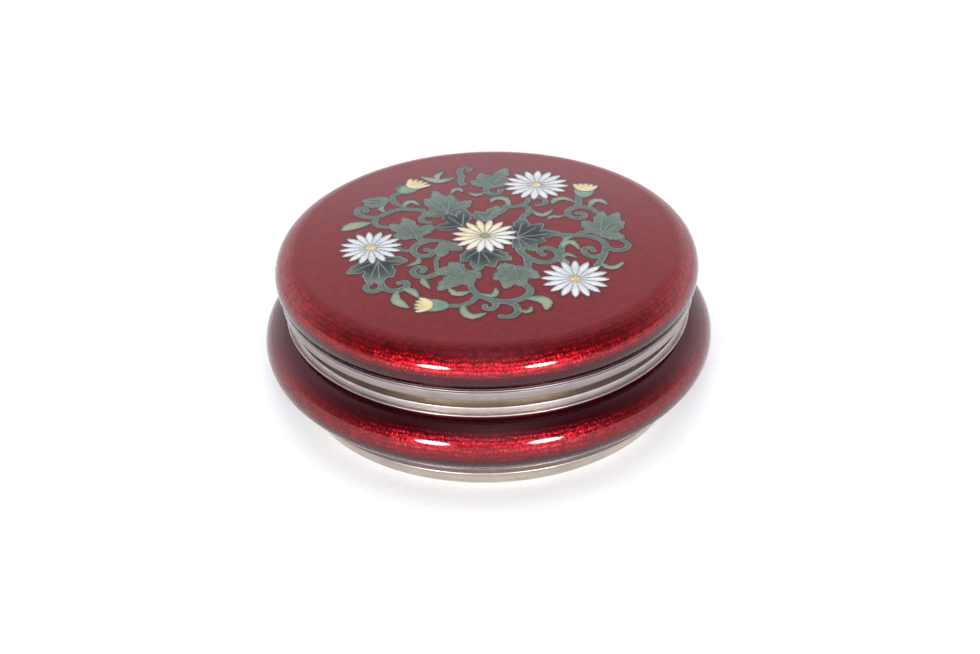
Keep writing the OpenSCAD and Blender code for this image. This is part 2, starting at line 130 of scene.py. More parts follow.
def arc(cx, cz, r, a0, a1, n):
    """n points of a section (r, z) on a circle, from angle a0 to a1."""
    steps = np.linspace(a0, a1, n)
    return [(cx + r * math.cos(a), cz + r * math.sin(a)) for a in steps]


# ---------------------------------------------------------------- node helpers
def new_material(name):
    mat = bpy.data.materials.new(name)
    mat.use_nodes = True
    return mat, mat.node_tree, mat.node_tree.nodes["Principled BSDF"]


def add(tree, kind, **values):
    node = tree.nodes.new(kind)
    for key, value in values.items():
        setattr(node, key, value)
    return node


def plug(tree, source, target):
    if isinstance(source, (int, float)):
        target.default_value = source
    else:
        tree.links.new(source, target)


def calc(tree, operation, a, b=0.0, c=0.0):
    node = add(tree, "ShaderNodeMath", operation=operation)
    for value, socket in zip((a, b, c), node.inputs):
        plug(tree, value, socket)
    return node.outputs[0]


def ramp(tree, source, stops):
    node = add(tree, "ShaderNodeValToRGB")
    points = node.color_ramp.elements
    while len(points) < len(stops):
        points.new(0.5)
    for point, (at, color) in zip(points, stops):
        point.position = at
        point.color = (*color, 1)
    plug(tree, source, node.inputs[0])
    return node.outputs[0]


def grey_ramp(tree, source, stops):
    return ramp(tree, source, [(p, (v, v, v)) for p, v in stops])


def noise(tree, vector, scale, detail=3.0, rough=0.5, distortion=0.0):
    node = add(tree, "ShaderNodeTexNoise")
    node.inputs["Scale"].default_value = scale
    node.inputs["Detail"].default_value = detail
    node.inputs["Roughness"].default_value = rough
    node.inputs["Distortion"].default_value = distortion
    plug(tree, vector, node.inputs["Vector"])
    return node.outputs["Fac"]


def mix(tree, fac, a, b, blend="MIX"):
    node = add(tree, "ShaderNodeMix", data_type="RGBA", blend_type=blend)
    plug(tree, fac, node.inputs[0])
    for value, socket in ((a, node.inputs[6]), (b, node.inputs[7])):
        if isinstance(value, tuple):
            socket.default_value = (*value, 1)
        else:
            plug(tree, value, socket)
    return node.outputs[2]


def attribute(tree, name):
    """A mask that the mesh carries at its vertices."""
    return add(tree, "ShaderNodeAttribute", attribute_name=name).outputs["Fac"]


def place(tree):
    """Where a point lies on the object."""
    return add(tree, "ShaderNodeTexCoord").outputs["Object"]


def bump(tree, height, strength, distance, normal=None):
    node = add(tree, "ShaderNodeBump")
    node.inputs["Strength"].default_value = strength
    node.inputs["Distance"].default_value = distance
    plug(tree, height, node.inputs["Height"])
    if normal is not None:
        plug(tree, normal, node.inputs["Normal"])
    return node.outputs[0]


def pair_of(tree, a, b):
    """Two values as one vector."""
    node = add(tree, "ShaderNodeCombineXYZ")
    plug(tree, a, node.inputs[0])
    plug(tree, b, node.inputs[1])
    return node.outputs[0]


def random_at(tree, key):
    """White noise that is the same all over one cell of a pattern."""
    node = add(tree, "ShaderNodeTexWhiteNoise", noise_dimensions="2D")
    plug(tree, key, node.inputs["Vector"])
    return node


def blend_of(tree, a, b, share):
    """A weighted sum of two values, with share going to b."""
    return calc(tree, "ADD", calc(tree, "MULTIPLY", a, 1.0 - share), calc(tree, "MULTIPLY", b, share))


def vector_calc(tree, operation, a, b=None):
    """Vector arithmetic; b is a vector, or the factor when a is scaled."""
    node = add(tree, "ShaderNodeVectorMath", operation=operation)
    plug(tree, a, node.inputs[0])
    if isinstance(b, tuple):
        node.inputs[1].default_value = b
    elif b is not None:
        plug(tree, b, node.inputs["Scale" if operation == "SCALE" else 1])
    return node.outputs[0]


def gloss(shader, rough, coat=0.0, coat_rough=0.03, ior=1.5, metallic=0.0):
    shader.inputs["Roughness"].default_value = rough
    shader.inputs["Metallic"].default_value = metallic
    shader.inputs["Coat Weight"].default_value = coat
    shader.inputs["Coat Roughness"].default_value = coat_rough
    shader.inputs["Coat IOR"].default_value = ior


# ---------------------------------------------------------------- materials
def foil_cells(tree, flat_r, edge_r):
    """Raised staggered studs in rings about the axis, a random value for each stud, and how far
    along the section and round the axis a point lies, counted in studs. Out to flat_r each ring
    has its own count; beyond it all have the count that suits edge_r."""
    xyz = add(tree, "ShaderNodeSeparateXYZ")
    plug(tree, place(tree), xyz.inputs[0])
    x, y = xyz.outputs[0], xyz.outputs[1]
    along = attribute(tree, "along")
    row_at = calc(tree, "DIVIDE", along, FOIL_PITCH)
    wobble = noise(tree, place(tree), 330.0, 2.0)
    row_at = calc(tree, "ADD", row_at, calc(tree, "MULTIPLY", calc(tree, "SUBTRACT", wobble, 0.5), 1.3))
    row = calc(tree, "FLOOR", row_at)
    middle = calc(tree, "MULTIPLY", calc(tree, "ADD", row, 0.5), FOIL_PITCH)
    outside = calc(tree, "GREATER_THAN", middle, flat_r)
    inside = calc(tree, "SUBTRACT", 1.0, outside)
    ring_r = calc(tree, "ADD", calc(tree, "MULTIPLY", middle, inside),
                  calc(tree, "MULTIPLY", outside, edge_r))
    around = calc(tree, "ARCTAN2", y, x)
    count = calc(tree, "ROUND", calc(tree, "DIVIDE", ring_r, FOIL_PITCH / (2 * math.pi)))
    turn = calc(tree, "DIVIDE", around, 2 * math.pi)
    shift = calc(tree, "MULTIPLY", calc(tree, "MODULO", row, 2.0), 0.5)
    column_at = calc(tree, "ADD", calc(tree, "MULTIPLY", turn, count), shift)
    column_at = calc(tree, "ADD", column_at, calc(tree, "MULTIPLY", wobble, 0.3))
    column = calc(tree, "FLOOR", column_at)
    u = calc(tree, "FRACT", row_at)
    v = calc(tree, "FRACT", column_at)
    up = calc(tree, "SINE", calc(tree, "MULTIPLY", u, math.pi))
    over = calc(tree, "SINE", calc(tree, "MULTIPLY", v, math.pi))
    height = calc(tree, "MULTIPLY", up, calc(tree, "ADD", calc(tree, "MULTIPLY", over, 0.45), 0.55))
    luck = random_at(tree, pair_of(tree, row, column)).outputs["Value"]
    return height, luck, row_at, column_at


def red_enamel(name, flat_r, edge_r, mid, bright):
    """Translucent red over stamped foil, of colour mid to bright. The mask "bent" says where the
    foil crinkles over a curve; a second mask is painted shade, dark where the surface turns
    downwards or lies under the lid; and "shade" is where the standing wires keep the light off the foil."""
    mat, tree, shader = new_material(name)
    height, luck, row_at, column_at = foil_cells(tree, flat_r, edge_r)
    where = place(tree)
    cloud = noise(tree, where, 55.0, 4.0, 0.55)
    bent = attribute(tree, "bent")
    tint = blend_of(tree, height, luck, 0.55)
    lively = ramp(tree, tint, [(0.12, (0.15, 0.0025, 0.0050)), (0.5, (mid, 0.0050, 0.0105)),
                               (0.92, (bright, 0.0090, 0.0180))])
    calm = ramp(tree, tint, [(0.10, (0.230, 0.0045, 0.0105)), (0.5, (0.290, 0.0065, 0.0150)),
                             (0.95, (0.360, 0.0095, 0.0205))])
    base = mix(tree, bent, calm, lively)
    base = mix(tree, calc(tree, "MULTIPLY", cloud, 0.30), base, (0.16, 0.003, 0.006))
    # Painted shade: darker red where the surface turns downwards or lies under the lid.
    base = mix(tree, attribute(tree, "painted_shade_band"), base, (0.062, 0.0035, 0.0100))
    base = mix(tree, attribute(tree, "shade"), base, (0.022, 0.004, 0.005))
    plug(tree, base, shader.inputs["Base Color"])
    grain = noise(tree, where, 3200.0, 2.0)
    relief = calc(tree, "ADD", height, calc(tree, "MULTIPLY", grain, 0.12))
    rolled = bump(tree, relief, 0.22, 0.00022)
    facet_row = calc(tree, "FLOOR", calc(tree, "MULTIPLY", row_at, 2.3))
    facet_column = calc(tree, "FLOOR", calc(tree, "MULTIPLY", column_at, 4.0))
    facet = random_at(tree, pair_of(tree, facet_row, facet_column)).outputs["Color"]
    lean = vector_calc(tree, "SUBTRACT", facet, (0.5, 0.5, 0.5))
    tilt = calc(tree, "ADD", calc(tree, "MULTIPLY", bent, 0.26), 0.03)
    tilted = vector_calc(tree, "ADD", rolled, vector_calc(tree, "SCALE", lean, tilt))
    plug(tree, vector_calc(tree, "NORMALIZE", tilted), shader.inputs["Normal"])
    flow = bump(tree, noise(tree, where, 38.0, 2.0), 0.03, 0.0008)
    plug(tree, flow, shader.inputs["Coat Normal"])
    gloss(shader, 0.38, coat=1.0, coat_rough=0.08, ior=1.42, metallic=1.0)
    shader.inputs["Specular Tint"].default_value = (0.30, 0.02, 0.03, 1)
    return mat


def cell_enamel(name, low, mid, high, tip=None, far=None):
    """Opaque enamel in a cell: clouded, a little darker beside the wire, with fine pits and a
    polished face. It turns to tip where the mask "reach" is high, and to far away from the middle."""
    mat, tree, shader = new_material(name)
    where = place(tree)
    cloud = noise(tree, where, 420.0, 4.0, 0.6, 0.4)
    fine = noise(tree, where, 2600.0, 3.0, 0.7)
    lum = blend_of(tree, cloud, fine, 0.25)
    base = ramp(tree, lum, [(0.30, low), (0.5, mid), (0.72, high)])
    if far is not None:
        base = mix(tree, attribute(tree, "spread"), base, far)
    if tip is not None:
        base = mix(tree, attribute(tree, "reach"), base, tip)
    beside_wire = calc(tree, "SUBTRACT", 1.0, attribute(tree, "inner"))
    base = mix(tree, calc(tree, "MULTIPLY", beside_wire, 0.35), base, low)
    plug(tree, base, shader.inputs["Base Color"])
    pits = grey_ramp(tree, fine, [(0.32, 0.0), (0.40, 1.0)])
    plug(tree, bump(tree, pits, 0.25, 0.00003), shader.inputs["Normal"])
    gloss(shader, 0.38, coat=0.7, coat_rough=0.06, ior=1.30)
    shader.inputs["Specular IOR Level"].default_value = 0.12
    return mat


def silver(name, dark, light, rough, line_scale, tarnish, warm):
    """Turned silver: fine lathe lines round the axis, cloudy tarnish of colour warm, and specks."""
    mat, tree, shader = new_material(name)
    where = place(tree)
    xyz = add(tree, "ShaderNodeSeparateXYZ")
    plug(tree, where, xyz.inputs[0])
    x2 = calc(tree, "POWER", xyz.outputs[0], 2.0)
    y2 = calc(tree, "POWER", xyz.outputs[1], 2.0)
    radius = calc(tree, "SQRT", calc(tree, "ADD", x2, y2))
    lines = noise(tree, pair_of(tree, radius, xyz.outputs[2]), line_scale, 3.0, 0.7)
    cloud = noise(tree, where, 90.0, 5.0, 0.62, 0.6)
    spots = noise(tree, where, 900.0, 3.0, 0.6)
    lum = blend_of(tree, lines, cloud, 0.55)
    base = ramp(tree, lum, [(0.30, dark), (0.62, light)])
    stain = grey_ramp(tree, blend_of(tree, cloud, spots, 0.4), [(0.5, 0.0), (0.68, tarnish)])
    base = mix(tree, stain, base, warm)
    plug(tree, base, shader.inputs["Base Color"])
    rough_map = grey_ramp(tree, lum, [(0.3, rough + 0.14), (0.65, rough - 0.04)])
    plug(tree, rough_map, shader.inputs["Roughness"])
    fine = bump(tree, lines, 0.30, 0.00004)
    plug(tree, bump(tree, spots, 0.12, 0.00004, fine), shader.inputs["Normal"])
    shader.inputs["Metallic"].default_value = 1.0
    return mat


def wire_metal(name, dark, light):
    """Flat-ground cloison wire, with grinding marks."""
    mat, tree, shader = new_material(name)
    where = place(tree)
    fine = noise(tree, where, 2400.0, 3.0, 0.6)
    cloud = noise(tree, where, 160.0, 3.0)
    lum = blend_of(tree, fine, cloud, 0.5)
    base = ramp(tree, lum, [(0.34, dark), (0.62, light)])
    plug(tree, base, shader.inputs["Base Color"])
    plug(tree, bump(tree, fine, 0.2, 0.00003), shader.inputs["Normal"])
    gloss(shader, 0.42, metallic=0.75)
    return mat


def counter_enamel():
    """Glossy blue counter enamel, clouded, with a faint orange-peel surface."""
    mat, tree, shader = new_material("blue_enamel")
    where = place(tree)
    cloud = noise(tree, where, 60.0, 5.0, 0.6, 0.5)
    grain = noise(tree, where, 1500.0, 2.0)
    lum = blend_of(tree, cloud, grain, 0.3)
    base = ramp(tree, lum, [(0.3, (0.018, 0.032, 0.11)), (0.52, (0.035, 0.06, 0.18)),
                            (0.72, (0.07, 0.11, 0.26))])
    plug(tree, base, shader.inputs["Base Color"])
    plug(tree, bump(tree, cloud, 0.12, 0.0006), shader.inputs["Normal"])
    gloss(shader, 0.28, coat=0.8, coat_rough=0.08, ior=1.5)
    return mat


def plain_metal(name, dark, light, rough, cell_scale):
    """Hidden metal of the body: hammered copper, or foil with its stamped pattern."""
    mat, tree, shader = new_material(name)
    where = place(tree)
    cells = add(tree, "ShaderNodeTexVoronoi")
    cells.inputs["Scale"].default_value = cell_scale
    plug(tree, where, cells.inputs["Vector"])
    cloud = noise(tree, where, 70.0, 4.0)
    lum = calc(tree, "ADD", calc(tree, "MULTIPLY", cells.outputs["Distance"], 0.4),
               calc(tree, "MULTIPLY", cloud, 0.8))
    plug(tree, ramp(tree, lum, [(0.3, dark), (0.75, light)]), shader.inputs["Base Color"])
    plug(tree, bump(tree, cells.outputs["Distance"], 0.3, 0.0001), shader.inputs["Normal"])
    gloss(shader, rough, metallic=1.0)
    return mat


def floor_paper():
    """Plain matt white paper."""
    mat, tree, shader = new_material("floor_paper")
    where = place(tree)
    fibre = noise(tree, where, 900.0, 4.0)
    plug(tree, ramp(tree, fibre, [(0.3, (0.93, 0.93, 0.935)), (0.7, (0.97, 0.97, 0.975))]),
         shader.inputs["Base Color"])
    plug(tree, bump(tree, fibre, 0.05, 0.0001), shader.inputs["Normal"])
    gloss(shader, 0.9)
    shader.inputs["Specular IOR Level"].default_value = 0.0
    return mat


MATS = {
    "red_enamel": red_enamel("red_enamel", LID_EDGE_R, LID_R - 2.4 * MM, 0.31, 0.50),
    # A darker copy of the same red enamel for the bowl: painted shade on the bowl's bright band.
    "red_enamel_bowl_painted_shade": red_enamel("red_enamel_bowl_painted_shade", 0.0, BOWL_R - 2.0 * MM, 0.20, 0.33),
    "silver_mount": silver("silver_mount", (0.20, 0.165, 0.165), (0.435, 0.36, 0.35), 0.33, 5200.0,
                           0.45, (0.24, 0.18, 0.15)),
    # A lighter copy of the mount's silver: painted light on the neck band under the lid.
    "silver_neck_painted_light": silver("silver_neck_painted_light", (0.34, 0.29, 0.27), (0.68, 0.60, 0.565), 0.38, 5200.0,
                          0.35, (0.36, 0.30, 0.25)),
    # A darker copy of the mount's silver: painted shade on the lower ring under the belly.
    "silver_belt_painted_shade": silver("silver_belt_painted_shade", (0.12, 0.085, 0.085), (0.29, 0.215, 0.21), 0.38, 5200.0,
                          0.45, (0.18, 0.13, 0.11)),
    "silver_foot": silver("silver_foot", (0.30, 0.26, 0.23), (0.62, 0.56, 0.50), 0.36, 3600.0,
                          0.60, (0.34, 0.26, 0.19)),
    "gilt_collar": silver("gilt_collar", (0.18, 0.14, 0.10), (0.44, 0.35, 0.24), 0.32, 4200.0,
                          0.60, (0.16, 0.11, 0.07)),
    "silver_wire": wire_metal("silver_wire", (0.30, 0.31, 0.32), (0.62, 0.63, 0.64)),
    "dull_wire": wire_metal("dull_wire", (0.11, 0.14, 0.13), (0.30, 0.34, 0.31)),
    "blue_enamel": counter_enamel(),
    "copper": plain_metal("copper", (0.35, 0.14, 0.08), (0.80, 0.42, 0.28), 0.32, 500.0),
    "silver_foil": plain_metal("silver_foil", (0.60, 0.59, 0.58), (0.90, 0.89, 0.88), 0.22, 1100.0),
    "white_enamel": cell_enamel("white_enamel", (0.40, 0.43, 0.45), (0.580, 0.600, 0.595),
                                (0.69, 0.705, 0.70), tip=(0.67, 0.68, 0.675)),
    "cream_enamel": cell_enamel("cream_enamel", (0.57, 0.44, 0.20), (0.73, 0.62, 0.36),
                                (0.79, 0.72, 0.48), tip=(0.67, 0.69, 0.68)),
    "yellow_enamel": cell_enamel("yellow_enamel", (0.34, 0.19, 0.06), (0.60, 0.50, 0.21),
                                 (0.72, 0.63, 0.35)),
    "moss_enamel": cell_enamel("moss_enamel", (0.09, 0.13, 0.02), (0.19, 0.23, 0.045),
                               (0.36, 0.37, 0.10)),
    "dark_green_enamel": cell_enamel("dark_green_enamel", (0.042, 0.078, 0.056), (0.074, 0.112, 0.084),
                                     (0.122, 0.160, 0.122), tip=(0.003, 0.009, 0.011),
                                     far=(0.160, 0.196, 0.156)),
    "pale_green_enamel": cell_enamel("pale_green_enamel", (0.095, 0.190, 0.125), (0.148, 0.240, 0.160),
                                     (0.225, 0.305, 0.210), tip=(0.300, 0.296, 0.190)),
    "stem_green_enamel": cell_enamel("stem_green_enamel", (0.046, 0.084, 0.066), (0.074, 0.116, 0.092),
                                     (0.114, 0.154, 0.124)),
    "bud_cream_enamel": cell_enamel("bud_cream_enamel", (0.46, 0.29, 0.10), (0.57, 0.44, 0.20),
                                    (0.69, 0.57, 0.32), tip=(0.67, 0.61, 0.40)),
}


# ---------------------------------------------------------------- turned pieces
def finish_piece(obj, body, slot_name, *nodes, look=None):
    """Gives a piece its material and its body, and hides the CAD nodes it stands for."""
    obj.data.materials.append(MATS[look or slot_name])
    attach(obj, body)
    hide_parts(*nodes)


def object_of(bm, name):
    """Turns a finished plan into an object of the scene."""
    mesh = bpy.data.meshes.new(name)
    bm.to_mesh(mesh)
    bm.free()
    obj = bpy.data.objects.new(name, mesh)
    bpy.context.scene.collection.objects.link(obj)
    return obj


def lathe(name, profile, closed=True, segments=TURNS, masks=None):
    """Turns a section (r, z) about the axis and keeps the length along it as the mask "along".
    Each mask in masks is a list with one value per point of the section."""
    pts = np.array(profile, float)
    loop = np.vstack([pts, pts[:1]]) if closed else pts
    steps = np.linalg.norm(np.diff(loop, axis=0), axis=1)
    along = np.concatenate([[0.0], np.cumsum(steps)])[:len(pts)]
    bm = bmesh.new()
    along_layer = bm.verts.layers.float.new("along")
    masks = masks or {}
    mask_layers = {key: bm.verts.layers.float.new(key) for key in masks}
    rings = []
    for i, ((r, z), s) in enumerate(zip(pts, along)):
        if r < 1e-7:
            ring = [bm.verts.new((0, 0, z))]
        else:
            turns = [2 * math.pi * k / segments for k in range(segments)]
            ring = [bm.verts.new((r * math.cos(a), r * math.sin(a), z)) for a in turns]
        for vert in ring:
            vert[along_layer] = s
            for key, layer in mask_layers.items():
                vert[layer] = masks[key][i]
        rings.append(ring)
    pairs = list(zip(rings, rings[1:]))
    if closed:
        pairs.append((rings[-1], rings[0]))
    for low, high in pairs:
        if len(low) == 1 and len(high) == 1:
            continue
        for k in range(segments):
            n = (k + 1) % segments
            if len(low) == 1:
                bm.faces.new((low[0], high[n], high[k]))
            elif len(high) == 1:
                bm.faces.new((low[k], low[n], high[0]))
            else:
                bm.faces.new((low[k], low[n], high[n], high[k]))
    bmesh.ops.recalc_face_normals(bm, faces=bm.faces)
    for edge in bm.edges:
        if len(edge.link_faces) == 2 and edge.calc_face_angle(0) > CREASE:
            edge.smooth = False
    for face in bm.faces:
        face.smooth = True
    return object_of(bm, name)


def rounded(corners, radius=0.12 * MM, n=4):
    """A section with each corner turned into a small arc, so that edges catch the light."""
    pts = [Vector(c) for c in corners]
    made = []
    for i, p in enumerate(pts):
        a = pts[i - 1] - p
        b = pts[(i + 1) % len(pts)] - p
        r = min(radius, a.length * 0.45, b.length * 0.45)
        start = p + a.normalized() * r
        end = p + b.normalized() * r
        for k in range(n + 1):
            t = k / n
            made.append(tuple(start * (1 - t) ** 2 + p * 2 * t * (1 - t) + end * t ** 2))
    return made


def fade(value, low, high):
    """0 below low, 1 above high, smooth between; low may be the greater of the two."""
    t = max(0.0, min(1.0, (value - low) / (high - low)))
    return t * t * (3 - 2 * t)


def slant(profile):
    """Elevation in degrees of the outward direction at each point of a section that runs downwards."""
    angles = []
    for i in range(len(profile)):
        a = profile[max(i - 1, 0)]
        b = profile[min(i + 1, len(profile) - 1)]
        angles.append(math.degrees(math.atan2(b[0] - a[0], a[1] - b[1])))
    return angles


def lid_section(depth, dome_steps, edge_steps):
    """The lid's outside from the crown to the seam, moved inwards by depth."""
    r = DOME_R - depth
    dome = [(r * math.sin(a), DOME_Z + r * math.cos(a)) for a in np.linspace(0, DOME_A, dome_steps)]
    seam_a = math.asin((LID_SEAM - LID_Z) / LID_ROUND)
    edge = arc(LID_EDGE_R, LID_Z, LID_ROUND - depth, math.pi / 2 - DOME_A, seam_a, edge_steps)
    return dome + edge[1:]


def lid_skin():
    """The lid's red enamel, from the crown over the rolled edge to the silver rim."""
    outside = lid_section(0, 110, 56)
    inner = [(outside[-1][0] - TURN_IN, LID_SEAM)]
    angles = slant(outside)
    angles.append(angles[-1])
    # The second mask paints shade under the rolled edge, where it turns downwards.
    masks = {"bent": [fade(a, 80, 54) for a in angles], "painted_shade_band": [fade(a, 16, -4) for a in angles]}
    obj = lathe("lid_enamel_skin", outside + inner, closed=False, segments=FINE_TURNS, masks=masks)
    finish_piece(obj, "lid", "red_enamel", "lid_enamel")
    return obj


def bowl_skin():
    """The bowl's red enamel, from under the neck band over shoulder and belly to the foot."""
    top_a = math.acos((NECK_R - (BOWL_R - SHOULDER_ROUND)) / SHOULDER_ROUND)
    upper = arc(BOWL_R - SHOULDER_ROUND, BOWL_Z, SHOULDER_ROUND, top_a, 0, 60)
    lower = arc(BOWL_R - BELLY_ROUND, BOWL_Z, BELLY_ROUND, 0, -CONE_A, 36)
    z_end = ENAMEL_BOWL[0].z
    run = (lower[-1][1] - z_end) * math.tan(CONE_A)
    foot = [(lower[-1][0] - run * t, lower[-1][1] - (lower[-1][1] - z_end) * t)
            for t in np.linspace(0.1, 1, 10)]
    inner = [(foot[-1][0] - TURN_IN, z_end)]
    start = [(upper[0][0] - 0.05 * MM, upper[0][1] - 0.8 * MM)]
    outside = start + upper + lower[1:] + foot
    angles = slant(outside)
    angles.append(angles[-1])
    # The second mask paints shade where the belly turns down to the floor and where the shoulder lies under
    # the lid.
    masks = {"bent": [fade(a, 66, 30) for a in angles],
             "painted_shade_band": [max(fade(a, 2, -26), 0.85 * fade(a, 26, 54)) for a in angles]}
    obj = lathe("bowl_enamel_skin", outside + inner, closed=False, segments=FINE_TURNS, masks=masks)
    # Its enamel is the darker copy, with painted shade on the bowl's bright band.
    finish_piece(obj, "bowl", "red_enamel", "bowl_enamel", look="red_enamel_bowl_painted_shade")


def lid_rim():
    """Silver band under the lid, with a bead below the seam and a ledge inside that meets the collar."""
    seam, low = LID_RIM[1].z, LID_RIM[0].z
    r = LID_RIM[1].x - 0.18 * MM
    ledge_z = COLLAR[1].z
    section = rounded([(LID_BORE, low), (r, low), (r, seam - 0.88 * MM)], 0.2 * MM)[5:]
    bead = arc(r - 0.06 * MM, seam - 0.55 * MM, 0.24 * MM, -1.25, 1.25, 12)
    top = [(r - 0.12 * MM, seam - 0.26 * MM), (r - 0.12 * MM, seam), (LID_LEDGE_R, seam),
           (LID_LEDGE_R, ledge_z), (LID_BORE, ledge_z), (LID_BORE, low + 0.15 * MM),
           (LID_BORE + 0.12 * MM, low)]
    obj = lathe("lid_rim_band", section + [(r - 0.1 * MM, seam - 0.82 * MM)] + bead + top)
    finish_piece(obj, "lid", "silver_mount", "lid_rim")


def bowl_rim():
    """Silver band round the bowl's mouth, with a bead at its foot and a rounded upper edge."""
    top_z, low = BOWL_RIM[1].z, BOWL_RIM[0].z
    neck_z = top_z - 1.85 * MM
    r = NECK_BAND_R
    bead = arc(NECK_R - 0.09 * MM, neck_z + 0.16 * MM, 0.24 * MM, -0.72, 1.35, 12)
    section = [(NECK_BORE, low), (NECK_R, low), (NECK_R, neck_z)] + bead
    section += [(r - 0.14 * MM, neck_z + 0.40 * MM), (r - 0.14 * MM, neck_z + 0.48 * MM)]
    section += arc(r - 0.1 * MM, neck_z + 0.62 * MM, 0.1 * MM, -1.2, 0, 5)
    section += arc(r - 0.22 * MM, top_z - 0.22 * MM, 0.22 * MM, 0, 1.5708, 8) + [(NECK_BORE, top_z)]
    obj = lathe("bowl_rim_band", section)
    # Its silver is a lighter copy of the mount's, with painted light for the band under the lid.
    finish_piece(obj, "bowl", "silver_mount", "bowl_rim", look="silver_neck_painted_light")


def lower_mount():
    """Silver ring under the enamel: a flat lip, a groove and a half-round."""
    groove_z = 4.55 * MM
    r, top, low = MOUNT[1].x, MOUNT[1].z, MOUNT[0].z
    inner = UNDERSIDE[1].x
    section = [(r - 2.6 * MM, top - 0.02 * MM), (r - 0.4 * MM, top)]
    section += arc(r - 0.3 * MM, top - 0.3 * MM, 0.3 * MM, 1.5, -0.1, 7)
    section += [(r - 0.03 * MM, groove_z + 0.2 * MM), (r - 0.10 * MM, groove_z)]
    section += arc(r - 0.55 * MM, groove_z - 0.15 * MM, 0.45 * MM, 0.1, -1.2, 8)
    section += [(r - 0.6 * MM, low), (inner, low)]
    section += [(inner, low + 0.7 * MM), (r - 2.9 * MM, low + 0.7 * MM)]
    obj = lathe("lower_mount_band", section)
    # Its silver is a darker copy of the mount's, with painted shade for the ring under the belly.
    finish_piece(obj, "bowl", "silver_mount", "lower_mount", look="silver_belt_painted_shade")


def foot_ring():
    """Silver foot that flares upwards from a rounded standing edge to a rolled lip."""
    edge_r = 0.32 * MM
    lip_r = 0.28 * MM
    lip_z = 3.1 * MM
    seat, top = FOOT[1].x, FOOT[1].z
    base = seat - 1.35 * MM
    section = arc(base - edge_r, edge_r, edge_r, -1.5708, 0.05, 8)
    section += [(base + 0.12 * MM, 0.5 * MM), (base + 0.5 * MM, 1.3 * MM), (base + 1.0 * MM, 2.3 * MM)]
    section += arc(seat - lip_r, lip_z, lip_r, -0.3, 1.35, 9)
    section += [(seat - 0.3 * MM, lip_z + 0.32 * MM), (seat - 0.45 * MM, lip_z + 0.4 * MM)]
    section += [(seat - 0.45 * MM, top), (base - 1.0 * MM, top), (base - 1.1 * MM, lip_z + 0.1 * MM)]
    section += arc(base - 1.4 * MM, 0.3 * MM, 0.3 * MM, 3.1416, 4.6, 6)
    obj = lathe("foot_band", section)
    finish_piece(obj, "bowl", "silver_foot", "foot_ring")


def collar():
    """Gilt collar with rounded edges, which the lid drops over."""
    r, top, low = COLLAR[1].x, COLLAR[1].z, COLLAR[0].z
    section = rounded([(r - 0.7 * MM, low), (r, low), (r, top), (r - 0.7 * MM, top)], 0.25 * MM, 5)
    obj = lathe("collar_band", section)
    finish_piece(obj, "bowl", "gilt_collar", "collar")


def lid_lining():
    """Blue enamel inside the lid."""
    inside = lid_section(WALL, 60, 30)
    obj = lathe("lid_inside", inside + [(inside[-1][0], LID_SEAM)], closed=False)
    finish_piece(obj, "lid", "blue_enamel", "lid_lining")


def bowl_lining():
    """Blue enamel inside the bowl, with a soft bend between wall and floor."""
    floor_z = BOWL_LINING[0].z + 0.4 * MM
    c = BOWL_R - SHOULDER_ROUND
    top_a = math.acos((NECK_R - c) / (SHOULDER_ROUND - WALL))
    upper = arc(c, BOWL_Z, SHOULDER_ROUND - WALL, top_a, 0, 30)
    lower = arc(BOWL_R - BELLY_ROUND, BOWL_Z, BELLY_ROUND - WALL, 0, -CONE_A, 20)
    run = (lower[-1][1] - floor_z) * math.tan(CONE_A)
    corner = Vector((lower[-1][0] - run, floor_z))
    bend_r = 1.2 * MM
    start = corner + (Vector(lower[-1]) - corner).normalized() * bend_r
    end = corner - Vector((bend_r, 0))
    bend = []
    for t in np.linspace(0, 1, 9):
        bend.append(tuple(start * (1 - t) ** 2 + corner * 2 * t * (1 - t) + end * t ** 2))
    flat = [(r, floor_z) for r in np.linspace(corner.x - 2 * MM, 0, 24)]
    obj = lathe("bowl_inside", upper + lower[1:] + bend + flat, closed=False)
    finish_piece(obj, "bowl", "blue_enamel", "bowl_lining")


def bowl_underside():
    """Blue enamel under the floor, very slightly domed."""
    r, top, low = UNDERSIDE[1].x, UNDERSIDE[1].z, UNDERSIDE[0].z
    swell = [(x, low + 0.12 * MM * (1 - (x / r) ** 2)) for x in np.linspace(0, r - 0.5 * MM, 30)]
    fillet = [(r - 0.2 * MM, low + 0.02 * MM), (r, low + 0.12 * MM), (r, top)]
    obj = lathe("bowl_underside_enamel", swell + fillet, closed=False)
    finish_piece(obj, "bowl", "blue_enamel", "bowl_underside")


# ---------------------------------------------------------------- inlay
def islands(bm):
    """Connected groups of vertices."""
    seen, groups = set(), []
    for start in bm.verts:
        if start.index in seen:
            continue
        group, queue = [], [start]
        seen.add(start.index)
        while queue:
            vert = queue.pop()
            group.append(vert)
            for edge in vert.link_edges:
                other = edge.other_vert(vert)
                if other.index not in seen:
                    seen.add(other.index)
                    queue.append(other)
        groups.append(group)
    return groups


def mesh_of(node):
    """A copy of a CAD node's mesh, with its joins merged."""
    bm = bmesh.new()
    bm.from_mesh(NODES[node].data)
    bmesh.ops.remove_doubles(bm, verts=bm.verts, dist=MERGE)
    return bm


def cap_of(node):
    """The upper faces of a CAD inlay node as a flat plan."""
    bm = mesh_of(node)
    bm.normal_update()
    bmesh.ops.delete(bm, geom=[f for f in bm.faces if f.normal.z < 0.7], context="FACES")
    for vert in bm.verts:
        vert.co.z = 0
    bmesh.ops.dissolve_limit(bm, angle_limit=0.001, verts=bm.verts, edges=bm.edges)
    return bm


